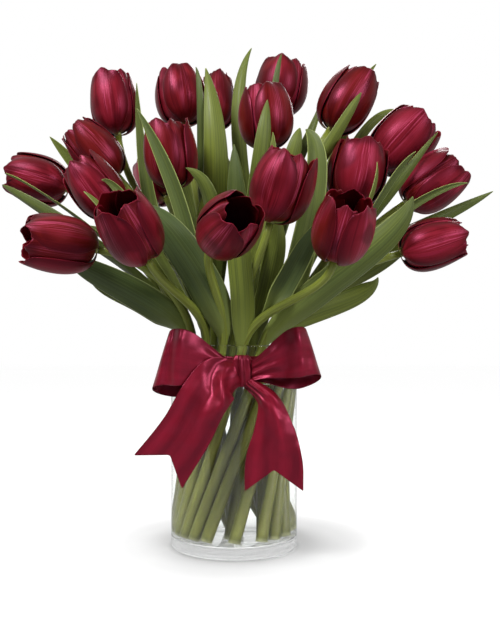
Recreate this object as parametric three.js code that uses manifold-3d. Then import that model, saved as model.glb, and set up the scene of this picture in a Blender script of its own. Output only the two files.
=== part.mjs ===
// A bunch of red tulips standing in a clear glass cylinder vase of water,
// with a satin ribbon tied in a bow round the neck of the vase.
// Millimetres, +Z up, origin at the centre of the vase's foot, the bow facing -Y.
import * as THREE from 'three';
import { mergeVertices } from 'three/addons/utils/BufferGeometryUtils.js';
import Module from 'manifold-3d';

const wasm = await Module();
wasm.setup();

// Vase and water
const VASE_RADIUS = 63.5;
const VASE_HEIGHT = 203;
const GLASS = 3.5;
const FLOOR = 11;
const FOOT_CHAMFER = 3;
const WATER_LEVEL = 165;
const ROUND_SIDES = 32;
const GAP = 0.3;
const HOLE_SPARE = 0.5; // the water's holes are this much wider than the stems

// Stems
const STEM_FOOT_RADIUS = 5.7;
const STEM_MOUTH_RADIUS = 4.5;
const STEM_NECK_RADIUS = 3.6;
const STEM_SIDES = 5;
const STEM_STEPS = 3;
const NECK_STRAIGHT = 4;
const FOOT_HEIGHT = FLOOR + 2.2;

// Tepals, as shares of the bloom's length or radius
const TEPAL_THICKNESS = 1;
const CUP = 0.07; // how far a tepal's edges curl in, as a share of its radius
const TIP_START = 0.55;
const TEPALS = {
  outer: { rows: [0.02, 0.34, 0.8, 1], columns: [-1, 0, 1], spread: 57, wide: 1, long: 1, lift: 0 },
  inner: { rows: [0.02, 0.38, 0.8, 1], columns: [-1, 0, 1], spread: 50, wide: 0.84, long: 0.97, lift: 2.4 },
};
const RECEPTACLE_RADIUS = 5.6;
const RECEPTACLE_HEIGHT = 6;

const TIP_BACK = 0.06; // a pointed tip faces the way that the sheet does this share before it

// Leaves
const LEAF_THICKNESS = 1;
const LEAF_START = 1.88; // how far a leaf's foot lies off the middle of its stem
const SEAM = 0.04; // slivers thinner than this, where a leaf meets its stem, are smoothed away
const LEAF_ROWS = [0, 0.17, 0.42, 0.76, 1];
const LEAF_COLUMNS = [-1, 0, 1];
const BLADE_COLUMNS = [-1, 1];
const BLADE_WIDTH = 15;
const SHEATH_FOLD = 60;
const BLADE_FOLD = 20;

// Ribbon
const RIBBON_WIDTH = 54;
const RIBBON_THICKNESS = 1;
const BAND_GAP = 0.5;
const BAND_HEIGHT = 182;
const BAND_HALF = { knot: 10, back: 15 };
const KNOT = [7, -71.7, 179];
const KNOT_SIZE = { wide: 19, deep: 14, height: 30 };
const LOOP_ROOT = 11;
const LOOP_PINCH = 2;
const LOOP_START = 8.85;
const LOOPS = {
  left: { side: -1, reach: 65.5, slant: 8, lift: 9.2, drop: 11, deep: 15, upright: 0.97 },
  right: { side: 1, reach: 57.5, slant: 7, lift: 15.7, drop: 11, deep: 15, upright: 0.8 },
};
const SWALLOWTAIL = 20;
const TAILS = {
  left: {
    line: [[3, -78.4, 178], [-13, -89.5, 172], [-28, -95, 153], [-43, -92, 125], [-69.5, -86, 87]],
    narrow: 13, waist: 22.5, widening: 0.3, sway: 3,
  },
  right: {
    line: [[12, -77.4, 169], [31, -86, 152], [36.5, -86, 125], [36.5, -84, 98], [36.5, -82, 69]],
    narrow: 6, waist: 27, widening: 0.86, sway: 2,
  },
};

// One row for each tulip. foot and mouth: radius and angle where the stem stands in the vase
// and where it crosses the rim. The feet stand in three clumps, with clear water between them.
// base: where stem and bloom meet. tilt: the bloom's lean from upright, towards the angle lean.
// open: 0 for a closed bloom, 1 for a wide one. roll turns the bloom on its stem.
// Its leaves: at is the height of a leaf's foot on the stem, face the angle that its back
// looks to, via and tip are points on its rib, half way along and at its end, wide its full width.
// fold, where given, is how far its foot is folded together, in degrees.
const TULIPS = [
  { name: 'a', foot: [20, 85], mouth: [23, 160], base: [-119, 10, 418], tilt: 8, lean: 178,
    length: 64, radius: 25, open: 0.25, roll: 20, leaves: [
      { at: 215, face: 170, via: [-62, 14, 305], tip: [-98, 16, 385], wide: 18 },
    ] },
  { name: 'b', foot: [44, 90], mouth: [51, 178], base: [-115, -20, 370], tilt: 42, lean: 190,
    length: 64, radius: 24, open: 0.2, roll: 50, leaves: [
      { at: 225, face: 60, via: [-80, -2, 330], tip: [-98, -8, 467], wide: 17 },
      { at: 215, face: 190, via: [-130, -24, 307], tip: [-223, -36, 370], wide: 12 },
    ] },
  { name: 'c', foot: [44, 125], mouth: [51, 198], base: [-109, -68, 323], tilt: 38, lean: 195,
    length: 62, radius: 24, open: 0.2, roll: 10, leaves: [
      { at: 212, face: 215, via: [-134, -38, 299], tip: [-230, -20, 362], wide: 16 },
      { at: 206, face: 235, via: [-86, -30, 240], tip: [-136, -46, 262], wide: 26 },
    ] },
  { name: 'd', foot: [44, 55], mouth: [51, 158], base: [-168, 0, 361], tilt: 74, lean: 182,
    length: 62, radius: 25, open: 0.35, roll: 30, leaves: [
      { at: 225, face: 100, via: [-120, 22, 330], tip: [-192, 20, 420], wide: 18 },
      { at: 210, face: 150, via: [-100, 52, 285], tip: [-175, 80, 335], wide: 28 },
    ] },
  { name: 'e', foot: [44, 146], mouth: [51, 218], base: [-123, -90, 289], tilt: 84, lean: 203,
    length: 66, radius: 25, open: 0.5, roll: 80, leaves: [
      { at: 200, face: 245, via: [-92, -53, 249], tip: [-158, -60, 286], wide: 31 },
    ] },
  { name: 'f', foot: [44, 164], mouth: [51, 238], base: [-75, -118, 277], tilt: 44, lean: 238,
    length: 64, radius: 25, open: 0.55, roll: 0, leaves: [
      { at: 212, face: 70, via: [-43, -60, 310], tip: [-92, -56, 427], wide: 18 },
      { at: 203, face: 60, via: [-33, -52, 248], tip: [-58, -68, 295], wide: 20 },
      { at: 232, face: 150, via: [-86, -89, 290], tip: [-134, -100, 340], wide: 12 },
      { at: 236, face: 120, via: [-80, -84, 304], tip: [-118, -100, 350], wide: 11 },
    ] },
  { name: 'g', foot: [28, 21], mouth: [23, 113], base: [-52, 40, 436], tilt: 9, lean: 160,
    length: 62, radius: 27, open: 0.35, roll: 40, leaves: [
      { at: 228, face: 270, via: [-18, -8, 345], tip: [-29, 4, 486], wide: 29 },
      { at: 300, face: 250, via: [-34, 4, 400], tip: [-39, 4, 487], wide: 10 },
      { at: 200, face: 120, via: [-38, 56, 330], tip: [-80, 66, 440], wide: 28 },
    ] },
  { name: 'h', foot: [29, 150], mouth: [23, 207], base: [-58, -30, 355], tilt: 9, lean: 210,
    length: 66, radius: 26, open: 0.35, roll: 0, leaves: [
      { at: 225, face: 250, via: [-20, -46, 305], tip: [-45, -63, 369], wide: 20 },
      { at: 210, face: 290, via: [-24, -20, 285], tip: [-30, -24, 350], wide: 24 },
    ] },
  { name: 'i', foot: [28, 346], mouth: [23, 63], base: [-18, 110, 452], tilt: 8, lean: 95,
    length: 66, radius: 21, open: 0.05, roll: 35, leaves: [
      { at: 195, face: 60, via: [6, 58, 310], tip: [-12, 82, 420], wide: 28 },
    ] },
  { name: 'j', foot: [44, 182], mouth: [51, 258], base: [-17, -125, 290], tilt: 68, lean: 297,
    length: 58, radius: 26, open: 0.35, roll: 15, leaves: [
      { at: 203, face: 266, via: [-34, -86, 270], tip: [-79, -94, 329], wide: 36, fold: 30 },
    ] },
  { name: 'k', foot: [30, 322], mouth: [23, 14], base: [46, 60, 453], tilt: 9, lean: 0,
    length: 60, radius: 28, open: 0.4, roll: 10, leaves: [
      { at: 240, face: 250, via: [7, 18, 385], tip: [19, 38, 519], wide: 18 },
      { at: 340, face: 270, via: [38, 27, 430], tip: [50, 26, 508], wide: 9 },
      { at: 290, face: 60, via: [60, 40, 380], tip: [92, 46, 462], wide: 14 },
      { at: 210, face: 20, via: [52, 24, 315], tip: [84, 32, 392], wide: 22 },
    ] },
  { name: 'l', foot: [3, 275], mouth: [3, 0], base: [35, -6, 400], tilt: 5, lean: 200,
    length: 63, radius: 28, open: 0.3, roll: 60, leaves: [
      { at: 230, face: 250, via: [4, -26, 305], tip: [0, -35, 398], wide: 26 },
      { at: 245, face: 280, via: [22, -38, 340], tip: [32, -46, 438], wide: 22 },
    ] },
  { name: 'm', foot: [27, 184], mouth: [23, 265], base: [33, -84, 314], tilt: 22, lean: 318,
    length: 66, radius: 28, open: 0.4, roll: 0, leaves: [
      { at: 240, face: 80, via: [28, -50, 320], tip: [37, -50, 406], wide: 14 },
    ] },
  { name: 'n', foot: [19, 262], mouth: [23, 325], base: [99, 20, 426], tilt: 32, lean: 2,
    length: 70, radius: 27, open: 0.3, roll: 45, leaves: [
      { at: 245, face: 285, via: [46, -40, 335], tip: [63, -50, 410], wide: 22 },
      { at: 300, face: 290, via: [85, -16, 385], tip: [127, -14, 455], wide: 14 },
      { at: 190, face: 290, via: [35, -38, 262], tip: [41, -51, 325], wide: 24, fold: 40 },
    ] },
  { name: 'o', foot: [44, 236], mouth: [51, 322], base: [115, -20, 341], tilt: 12, lean: 340,
    length: 64, radius: 29, open: 0.35, roll: 30, leaves: [
      { at: 195, face: 105, via: [70, -38, 315], tip: [70, -30, 414], wide: 28, fold: 40 },
    ] },
  { name: 'p', foot: [44, 200], mouth: [51, 280], base: [88, -108, 277], tilt: 38, lean: 285,
    length: 62, radius: 25, open: 0.5, roll: 75, leaves: [
      { at: 190, face: 285, via: [8, -75, 262], tip: [3, -84, 330], wide: 26, fold: 30 },
      { at: 225, face: 100, via: [52, -62, 268], tip: [82, -79, 320], wide: 24 },
    ] },
  { name: 'q', foot: [44, 303], mouth: [51, 2], base: [148, 20, 386], tilt: 44, lean: 345,
    length: 70, radius: 29, open: 0.5, roll: 15, leaves: [
      { at: 260, face: 90, via: [106, 50, 395], tip: [154, 52, 507], wide: 15 },
      { at: 215, face: 290, via: [140, 12, 298], tip: [268, 14, 362], wide: 18 },
    ] },
  { name: 'r', foot: [44, 270], mouth: [51, 342], base: [171, -10, 345], tilt: 54, lean: 352,
    length: 64, radius: 27, open: 0.35, roll: 70, leaves: [
      { at: 275, face: 300, via: [138, -32, 332], tip: [200, -28, 412], wide: 13 },
      { at: 222, face: 300, via: [112, -22, 268], tip: [184, -22, 315], wide: 28 },
    ] },
  { name: 's', foot: [44, 218], mouth: [51, 302], base: [158, -50, 290], tilt: 74, lean: 355,
    length: 62, radius: 25, open: 0.2, roll: 25, leaves: [
      { at: 195, face: 290, via: [100, -66, 268], tip: [166, -70, 341], wide: 32, fold: 40 },
      { at: 205, face: 300, via: [88, -40, 238], tip: [138, -46, 268], wide: 24 },
      { at: 252, face: 150, via: [112, -54, 310], tip: [135, -58, 376], wide: 10 },
      { at: 258, face: 140, via: [128, -42, 325], tip: [175, -44, 389], wide: 11 },
      { at: 245, face: 120, via: [140, -40, 315], tip: [224, -48, 358], wide: 10 },
    ] },
  { name: 't', foot: [44, 322], mouth: [51, 25], base: [128, 108, 360], tilt: 46, lean: 50,
    length: 64, radius: 25, open: 0.35, roll: 55, leaves: [
      { at: 262, face: 290, via: [114, 58, 385], tip: [185, 68, 460], wide: 14 },
      { at: 222, face: 20, via: [110, 52, 285], tip: [195, 72, 335], wide: 28 },
      { at: 204, face: 120, via: [62, 62, 269], tip: [105, 68, 380], wide: 28 },
    ] },
  { name: 'u', foot: [44, 345], mouth: [51, 65], base: [-4, 122, 345], tilt: 62, lean: 94,
    length: 64, radius: 25, open: 0.4, roll: 5, leaves: [
      { at: 180, face: 70, via: [38, 80, 330], tip: [30, 95, 450], wide: 32, fold: 35 },
    ] },
  { name: 'v', foot: [44, 20], mouth: [51, 110], base: [-78, 112, 372], tilt: 42, lean: 122,
    length: 64, radius: 25, open: 0.3, roll: 85, leaves: [
      { at: 180, face: 130, via: [-75, 95, 300], tip: [-140, 120, 370], wide: 32, fold: 35 },
      { at: 200, face: 180, via: [-56, 58, 262], tip: [-112, 62, 345], wide: 34 },
    ] },
];

const UP = new THREE.Vector3(0, 0, 1);
const RAD = Math.PI / 180;

const flat = (angle) => new THREE.Vector3(Math.cos(angle * RAD), Math.sin(angle * RAD), 0);
const point = ([x, y, z]) => new THREE.Vector3(x, y, z);
const mix = THREE.MathUtils.lerp;
const smooth = THREE.MathUtils.smoothstep;
const steps = (count) => Array.from({ length: count + 1 }, (_, i) => i / count);

// Turns a three.js geometry into a solid: shared vertices are merged, collapsed faces dropped.
function solidFrom(geometry) {
  const bare = new THREE.BufferGeometry().setAttribute('position', geometry.getAttribute('position'));
  bare.setIndex(geometry.index);
  const merged = mergeVertices(bare, 1e-3);
  const faces = [];
  const index = merged.index.array;
  for (let i = 0; i < index.length; i += 3) {
    const [a, b, c] = [index[i], index[i + 1], index[i + 2]];
    if (a !== b && b !== c && c !== a) faces.push(a, b, c);
  }
  const mesh = new wasm.Mesh({
    numProp: 3,
    vertProperties: new Float32Array(merged.getAttribute('position').array),
    triVerts: new Uint32Array(faces),
  });
  return new wasm.Manifold(mesh);
}

function geometryFrom(solid) {
  const mesh = solid.getMesh();
  const geometry = new THREE.BufferGeometry();
  geometry.setAttribute('position', new THREE.BufferAttribute(new Float32Array(mesh.vertProperties), 3));
  geometry.setIndex(new THREE.BufferAttribute(new Uint32Array(mesh.triVerts), 1));
  geometry.computeVertexNormals();
  return geometry;
}

const join = (solids) => solids.reduce((all, next) => all.add(next));

// A thin closed solid about a grid of points. surface(u, v) gives a point of its middle sheet.
// ring joins the last row to the first. Both faces of the sheet split their quads the same way,
// so that they stay apart where the sheet twists. A row that closes to a point takes the direction
// of the rib just before it.
function sheet(surface, rows, columns, thickness, ring = false) {
  const step = 1e-3;
  const low = rows[0];
  const high = rows[rows.length - 1];
  const outer = [];
  const inner = [];
  for (const u of rows) {
    for (const v of columns) {
      const u0 = ring ? u - step : Math.max(low, u - step);
      const u1 = ring ? u + step : Math.min(high, u + step);
      const closed = surface(u, 1).distanceTo(surface(u, -1)) < step;
      const lane = closed ? 0 : v;
      const flank = closed ? u - TIP_BACK : u;
      const along = surface(u1, lane).sub(surface(u0, lane));
      const across = surface(flank, Math.min(1, lane + step)).sub(surface(flank, Math.max(-1, lane - step)));
      const normal = across.cross(along).normalize();
      const middle = surface(u, v);
      outer.push(middle.clone().addScaledVector(normal, thickness / 2));
      inner.push(middle.clone().addScaledVector(normal, -thickness / 2));
    }
  }
  const wide = columns.length;
  const layer = rows.length * wide;
  const faces = [];
  const quad = (a, b, c, d) => faces.push(a, b, c, a, c, d);
  const bands = ring ? rows.length : rows.length - 1;
  for (let i = 0; i < bands; i++) {
    const here = i * wide;
    const next = ((i + 1) % rows.length) * wide;
    for (let j = 0; j < wide - 1; j++) {
      quad(here + j, here + j + 1, next + j + 1, next + j);
      quad(layer + here + j, layer + next + j, layer + next + j + 1, layer + here + j + 1);
    }
    quad(here, next, layer + next, layer + here);
    quad(next + wide - 1, here + wide - 1, layer + here + wide - 1, layer + next + wide - 1);
  }
  if (!ring) {
    const last = layer - wide;
    for (let j = 0; j < wide - 1; j++) {
      quad(j + 1, j, layer + j, layer + j + 1);
      quad(last + j, last + j + 1, layer + last + j + 1, layer + last + j);
    }
  }
  const all = [...outer, ...inner];
  const geometry = new THREE.BufferGeometry();
  geometry.setAttribute('position', new THREE.Float32BufferAttribute(all.flatMap((p) => [p.x, p.y, p.z]), 3));
  geometry.setIndex(faces);
  return outwards(geometry);
}

// Faces of a hand-built solid are turned round if they point inwards.
function outwards(geometry) {
  const position = geometry.getAttribute('position');
  const index = geometry.index.array;
  const [a, b, c] = [new THREE.Vector3(), new THREE.Vector3(), new THREE.Vector3()];
  let volume = 0;
  for (let i = 0; i < index.length; i += 3) {
    a.fromBufferAttribute(position, index[i]);
    b.fromBufferAttribute(position, index[i + 1]);
    c.fromBufferAttribute(position, index[i + 2]);
    volume += a.dot(b.cross(c));
  }
  if (volume < 0) {
    for (let i = 0; i < index.length; i += 3) [index[i], index[i + 1]] = [index[i + 1], index[i]];
  }
  return geometry;
}

// A rod of even sides along a list of points, with its radius at each point.
function rod(points, radii, sides) {
  const count = points.length;
  const rings = [];
  let side = new THREE.Vector3(1, 0, 0);
  for (let i = 0; i < count; i++) {
    const before = points[Math.max(0, i - 1)];
    const after = points[Math.min(count - 1, i + 1)];
    const along = after.clone().sub(before).normalize();
    side = side.clone().addScaledVector(along, -side.dot(along)).normalize();
    const other = along.clone().cross(side);
    for (let k = 0; k < sides; k++) {
      const turn = (k / sides) * 2 * Math.PI;
      const spoke = side.clone().multiplyScalar(Math.cos(turn)).addScaledVector(other, Math.sin(turn));
      rings.push(points[i].clone().addScaledVector(spoke, radii[i]));
    }
  }
  const faces = [];
  for (let i = 0; i < count - 1; i++) {
    for (let k = 0; k < sides; k++) {
      const [a, b] = [i * sides + k, i * sides + ((k + 1) % sides)];
      faces.push(a, b, b + sides, a, b + sides, a + sides);
    }
  }
  const top = (count - 1) * sides;
  for (let k = 1; k < sides - 1; k++) {
    faces.push(0, k + 1, k);
    faces.push(top, top + k, top + k + 1);
  }
  const geometry = new THREE.BufferGeometry();
  geometry.setAttribute('position', new THREE.Float32BufferAttribute(rings.flatMap((p) => [p.x, p.y, p.z]), 3));
  geometry.setIndex(faces);
  return outwards(geometry);
}

// The line of a stem: straight up through the water from its foot to the mouth of the vase,
// all turning the same way round so that none meets another, then curving to its bloom.
function stemLine(tulip) {
  const [footRadius, footAngle] = tulip.foot;
  const [mouthRadius, mouthAngle] = tulip.mouth;
  const foot = flat(footAngle).multiplyScalar(footRadius).setZ(FOOT_HEIGHT);
  const mouth = flat(mouthAngle).multiplyScalar(mouthRadius).setZ(VASE_HEIGHT);
  const base = point(tulip.base);
  const axis = bloomAxis(tulip);
  const reach = base.distanceTo(mouth);
  const rise = mouth.clone().sub(foot).normalize();
  const neck = base.clone().addScaledVector(axis, -GAP);
  const end = neck.clone().addScaledVector(axis, -NECK_STRAIGHT);
  const curve = new THREE.CubicBezierCurve3(
    mouth,
    mouth.clone().addScaledVector(rise, reach * 0.34),
    end.clone().addScaledVector(axis, -reach * 0.3),
    end,
  );
  return { foot, mouth, neck, curve };
}

function bloomAxis(tulip) {
  const lean = flat(tulip.lean).multiplyScalar(Math.sin(tulip.tilt * RAD));
  return lean.addScaledVector(UP, Math.cos(tulip.tilt * RAD));
}

function stem(tulip) {
  const { foot, neck, curve } = stemLine(tulip);
  const points = [foot];
  const radii = [STEM_FOOT_RADIUS];
  for (let i = 0; i <= STEM_STEPS; i++) {
    const share = i / STEM_STEPS;
    points.push(curve.getPoint(share));
    radii.push(mix(STEM_MOUTH_RADIUS, STEM_NECK_RADIUS, share));
  }
  points.push(neck);
  radii.push(STEM_NECK_RADIUS);
  return solidFrom(rod(points, radii, STEM_SIDES));
}

// A tepal's middle sheet in the bloom's own frame: u runs from its foot to its tip, v across it.
function tepalSheet(tulip, turn, whorl) {
  const radius = tulip.radius * whorl.wide;
  const length = tulip.length * whorl.long;
  const profile = new THREE.CubicBezierCurve(
    new THREE.Vector2(radius * 0.1, 0.5 + whorl.lift),
    new THREE.Vector2(radius * 1.36, length * 0.02 + whorl.lift),
    new THREE.Vector2(radius * (1 + 0.33 * tulip.open), length * 0.76),
    new THREE.Vector2(radius * (0.58 + 0.4 * tulip.open), length),
  );
  return (u, v) => {
    const at = profile.getPoint(Math.min(1, u));
    const swell = 0.3 + 0.7 * Math.sin((Math.PI / 2) * Math.min(1, u / 0.5));
    const taper = Math.sqrt(Math.max(0, 1 - Math.max(0, (u - TIP_START) / (1 - TIP_START)) ** 3));
    const angle = turn + v * whorl.spread * swell * taper;
    const cupped = at.x * (1 - CUP * v * v * taper);
    return flat(angle).multiplyScalar(cupped).setZ(at.y);
  };
}

function bloom(tulip) {
  const pieces = [];
  for (let k = 0; k < 6; k++) {
    const whorl = k % 2 ? TEPALS.inner : TEPALS.outer;
    const surface = tepalSheet(tulip, tulip.roll + k * 60, whorl);
    pieces.push(solidFrom(sheet(surface, whorl.rows, whorl.columns, TEPAL_THICKNESS)));
  }
  const receptacle = [0, 0.2, 1].map((share) => new THREE.Vector3(0, 0, share * RECEPTACLE_HEIGHT));
  const girths = [STEM_NECK_RADIUS, RECEPTACLE_RADIUS, RECEPTACLE_RADIUS * 0.6];
  pieces.push(solidFrom(rod(receptacle, girths, 6).rotateZ(tulip.roll * RAD)));
  const whole = geometryFrom(join(pieces));
  const turn = new THREE.Quaternion().setFromUnitVectors(UP, bloomAxis(tulip));
  return whole.applyQuaternion(turn).translate(...tulip.base);
}

// A leaf's middle sheet: it starts clasped against its stem and opens towards the tip.
function leafSheet(tulip, leaf) {
  const { foot, mouth, curve } = stemLine(tulip);
  const start = new THREE.Vector3();
  const along = new THREE.Vector3();
  if (leaf.at <= VASE_HEIGHT) {
    start.lerpVectors(foot, mouth, (leaf.at - foot.z) / (mouth.z - foot.z));
    along.subVectors(mouth, foot).normalize();
  } else {
    let share = 0;
    while (share < 1 && curve.getPoint(share).z < leaf.at) share += 0.01;
    start.copy(curve.getPoint(share));
    along.copy(curve.getTangent(share));
  }
  const back = flat(leaf.face);
  const off = back.clone().addScaledVector(along, -back.dot(along)).normalize();
  start.addScaledVector(off, LEAF_START);
  const via = point(leaf.via);
  const tip = point(leaf.tip);
  const reach = start.distanceTo(tip);
  const handle = start.clone().addScaledVector(along, reach * 0.26).addScaledVector(off, leaf.wide / 4);
  const last = via.clone().multiplyScalar(8).sub(start).addScaledVector(handle, -3).sub(tip).divideScalar(3);
  const rib = new THREE.CubicBezierCurve3(start, handle, last, tip);
  return (u, v) => {
    const at = rib.getPoint(Math.min(1, u));
    const ahead = rib.getTangent(Math.min(0.999, u));
    const normal = back.clone().addScaledVector(ahead, -back.dot(ahead)).normalize();
    const side = ahead.clone().cross(normal);
    const swell = mix(0.14, 1, Math.sin((Math.PI / 2) * Math.min(1, u / 0.36)));
    const taper = Math.max(0, 1 - Math.max(0, (u - 0.42) / 0.58) ** 2.8) ** 0.8;
    const half = (leaf.wide / 2) * swell * taper;
    const fold = mix(leaf.fold || SHEATH_FOLD, BLADE_FOLD, Math.min(1, u / 0.35)) * RAD;
    const spread = half * v * Math.cos(fold);
    const depth = half * Math.abs(v) * Math.sin(fold);
    return at.clone().addScaledVector(side, spread).addScaledVector(normal, -depth);
  };
}

// A narrow leaf is a flat blade; a wider one is folded along its rib.
function leafSolid(tulip, leaf) {
  const columns = leaf.wide < BLADE_WIDTH ? BLADE_COLUMNS : LEAF_COLUMNS;
  return sheet(leafSheet(tulip, leaf), LEAF_ROWS, columns, LEAF_THICKNESS);
}

function greenery(tulip) {
  const pieces = [stem(tulip)];
  for (const leaf of tulip.leaves) {
    pieces.push(solidFrom(leafSolid(tulip, leaf)));
  }
  return geometryFrom(join(pieces).simplify(SEAM));
}

// The vase is turned from one profile: foot, outer wall, rim, inner wall and the thick glass floor.
function vase() {
  const inside = VASE_RADIUS - GLASS;
  const profile = [
    [0, 0],
    [VASE_RADIUS - FOOT_CHAMFER, 0],
    [VASE_RADIUS, FOOT_CHAMFER],
    [VASE_RADIUS, VASE_HEIGHT - 1.2],
    [VASE_RADIUS - 1.2, VASE_HEIGHT],
    [inside + 1.2, VASE_HEIGHT],
    [inside, VASE_HEIGHT - 1.2],
    [inside, FLOOR + 4],
    [inside - 4, FLOOR],
    [0, FLOOR],
  ];
  const outline = profile.map(([r, z]) => new THREE.Vector2(r, z));
  return solidFrom(outwards(new THREE.LatheGeometry(outline, ROUND_SIDES).rotateX(Math.PI / 2)));
}

function water() {
  const reach = VASE_RADIUS - GLASS - GAP;
  const bottom = FLOOR + GAP;
  const profile = [
    [0, bottom],
    [reach - 4, bottom],
    [reach, bottom + 4],
    [reach, WATER_LEVEL],
    [0, WATER_LEVEL],
  ];
  const outline = profile.map(([r, z]) => new THREE.Vector2(r, z));
  let body = solidFrom(outwards(new THREE.LatheGeometry(outline, ROUND_SIDES).rotateX(Math.PI / 2)));
  for (const tulip of TULIPS) {
    const { foot, mouth } = stemLine(tulip);
    const rise = mouth.clone().sub(foot).normalize();
    const from = foot.clone().addScaledVector(rise, -12);
    const girths = [STEM_FOOT_RADIUS, STEM_MOUTH_RADIUS].map((radius) => radius + HOLE_SPARE);
    body = body.subtract(solidFrom(rod([from, mouth], girths, STEM_SIDES)));
  }
  return body;
}

// Satin band round the neck, drawn narrow where the knot gathers it.
function band() {
  const radius = VASE_RADIUS + BAND_GAP + RIBBON_THICKNESS / 2;
  const turns = Array.from({ length: 32 }, (_, i) => i / 32);
  const surface = (turn, v) => {
    const angle = turn * 360 - 85;
    const away = 1 - Math.abs(2 * turn - 1);
    const half = mix(BAND_HALF.knot, BAND_HALF.back, Math.min(1, away * 2));
    return flat(angle).multiplyScalar(radius).setZ(BAND_HEIGHT + v * half);
  };
  return sheet(surface, turns, [-1, 1], RIBBON_THICKNESS, true);
}

function knot() {
  const { height, wide, deep } = KNOT_SIZE;
  const shape = [[-0.5, 0.5], [-0.34, 0.92], [0, 0.98], [0.34, 0.92], [0.5, 0.62]];
  const points = shape.map(([z]) => new THREE.Vector3(0, 0, z * height));
  const girths = shape.map(([, girth]) => (girth * wide) / 2);
  return rod(points, girths, 8).scale(1, deep / wide, 1).translate(...KNOT);
}

// A loop stands out to one side of the knot, side -1 for left and 1 for right: u runs along
// the ribbon out to the turn and back behind, v across it. The front layer sits higher.
function bowLoop({ side, reach, slant, lift, drop, deep, upright }) {
  return (u, v) => {
    const out = Math.sin(Math.PI * u) ** 0.8;
    const half = mix(LOOP_ROOT, RIBBON_WIDTH / 2, smooth(out, 0, 0.75));
    const bulge = deep * Math.sin(2 * Math.PI * u) * (1 - 0.12 * v * v) + mix(LOOP_PINCH, -LOOP_PINCH, u);
    return new THREE.Vector3(
      KNOT[0] + side * (LOOP_START + (reach - slant * v) * out),
      KNOT[1] - bulge - 5 * out,
      KNOT[2] + (lift + drop * Math.cos(Math.PI * u)) * out + v * half * mix(0.9, upright, out),
    );
  };
}

// A tail falls from the knot along its middle line, curled in to its waist, and ends flat in a
// swallowtail. narrow and waist are half widths.
function tail({ line, narrow, waist, widening, sway }) {
  const middle = new THREE.CatmullRomCurve3(line.map(point));
  return (u, v) => {
    const along = middle.getTangent(u);
    const across = new THREE.Vector3(-along.z, 0, along.x).normalize();
    const half = mix(narrow, waist, smooth(u, 0, widening)) + (RIBBON_WIDTH / 2 - waist) * u ** 4;
    const cut = (1 - Math.abs(v)) * SWALLOWTAIL * u ** 3;
    const at = middle.getPoint(u).addScaledVector(along, -cut).addScaledVector(across, v * half);
    at.y -= sway * Math.sin(Math.PI * v * 0.8) * Math.sin(Math.PI * Math.sqrt(u));
    return at;
  };
}

const red = new THREE.MeshStandardMaterial({ color: 0x7a0f1c, roughness: 0.45, metalness: 0 });
const green = new THREE.MeshStandardMaterial({ color: 0x4f6b2b, roughness: 0.5, metalness: 0 });
const satin = new THREE.MeshStandardMaterial({ color: 0x7c1230, roughness: 0.35, metalness: 0 });
const glass = new THREE.MeshStandardMaterial({
  color: 0xf4f8f8, roughness: 0.02, metalness: 0, transparent: true, opacity: 0.3,
});
const clearWater = new THREE.MeshStandardMaterial({
  color: 0xeef4ee, roughness: 0.02, metalness: 0, transparent: true, opacity: 0.35,
});

const bouquet = new THREE.Group();
function place(name, geometry, material) {
  const mesh = new THREE.Mesh(geometry, material);
  mesh.name = name;
  bouquet.add(mesh);
}

place('vase', geometryFrom(vase()), glass);
place('water', geometryFrom(water()), clearWater);
for (const tulip of TULIPS) {
  place('stem_' + tulip.name, greenery(tulip), green);
  place('bloom_' + tulip.name, bloom(tulip), red);
}
place('ribbon_band', band(), satin);
place('ribbon_knot', knot(), satin);
for (const side of ['left', 'right']) {
  const loop = bowLoop(LOOPS[side]);
  place('bow_loop_' + side, sheet(loop, steps(11), [-1, -0.4, 0.4, 1], RIBBON_THICKNESS), satin);
  const end = tail(TAILS[side]);
  place('ribbon_tail_' + side, sheet(end, steps(6), [-1, -0.5, 0, 0.5, 1], RIBBON_THICKNESS), satin);
}

export default bouquet;
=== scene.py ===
import math
import random

import bmesh
import bpy
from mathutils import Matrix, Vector


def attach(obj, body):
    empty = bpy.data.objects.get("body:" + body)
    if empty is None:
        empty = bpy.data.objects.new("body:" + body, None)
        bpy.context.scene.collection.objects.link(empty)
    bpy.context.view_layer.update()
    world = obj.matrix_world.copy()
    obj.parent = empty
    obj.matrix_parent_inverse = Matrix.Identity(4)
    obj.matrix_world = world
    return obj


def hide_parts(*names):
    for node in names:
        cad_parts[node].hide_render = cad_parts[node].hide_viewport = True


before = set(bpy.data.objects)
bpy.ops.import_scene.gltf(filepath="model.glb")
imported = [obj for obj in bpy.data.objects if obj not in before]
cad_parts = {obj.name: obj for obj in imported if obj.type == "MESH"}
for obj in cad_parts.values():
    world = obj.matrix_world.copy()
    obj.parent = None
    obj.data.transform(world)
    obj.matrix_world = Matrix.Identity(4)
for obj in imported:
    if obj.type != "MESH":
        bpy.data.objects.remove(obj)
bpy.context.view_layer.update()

mm = 0.001
up = Vector((0, 0, 1))


def flatWay(angle):
    turn = math.radians(angle)
    return Vector((math.cos(turn), math.sin(turn), 0))


def mix(low, high, share):
    return low + (high - low) * share


def smoothStep(value, low, high):
    share = min(1, max(0, (value - low) / (high - low)))
    return share * share * (3 - 2 * share)


def bezierPoint(points, share):
    a, b, c, d = points
    rest = 1 - share
    return a * rest**3 + b * (3 * rest * rest * share) + c * (3 * rest * share * share) + d * share**3


def bezierWay(points, share):
    a, b, c, d = points
    rest = 1 - share
    way = (b - a) * (rest * rest) + (c - b) * (2 * rest * share) + (d - c) * (share * share)
    return way.normalized()


def addObject(name, data):
    made = bpy.data.objects.new(name, data)
    bpy.context.scene.collection.objects.link(made)
    return made


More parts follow.
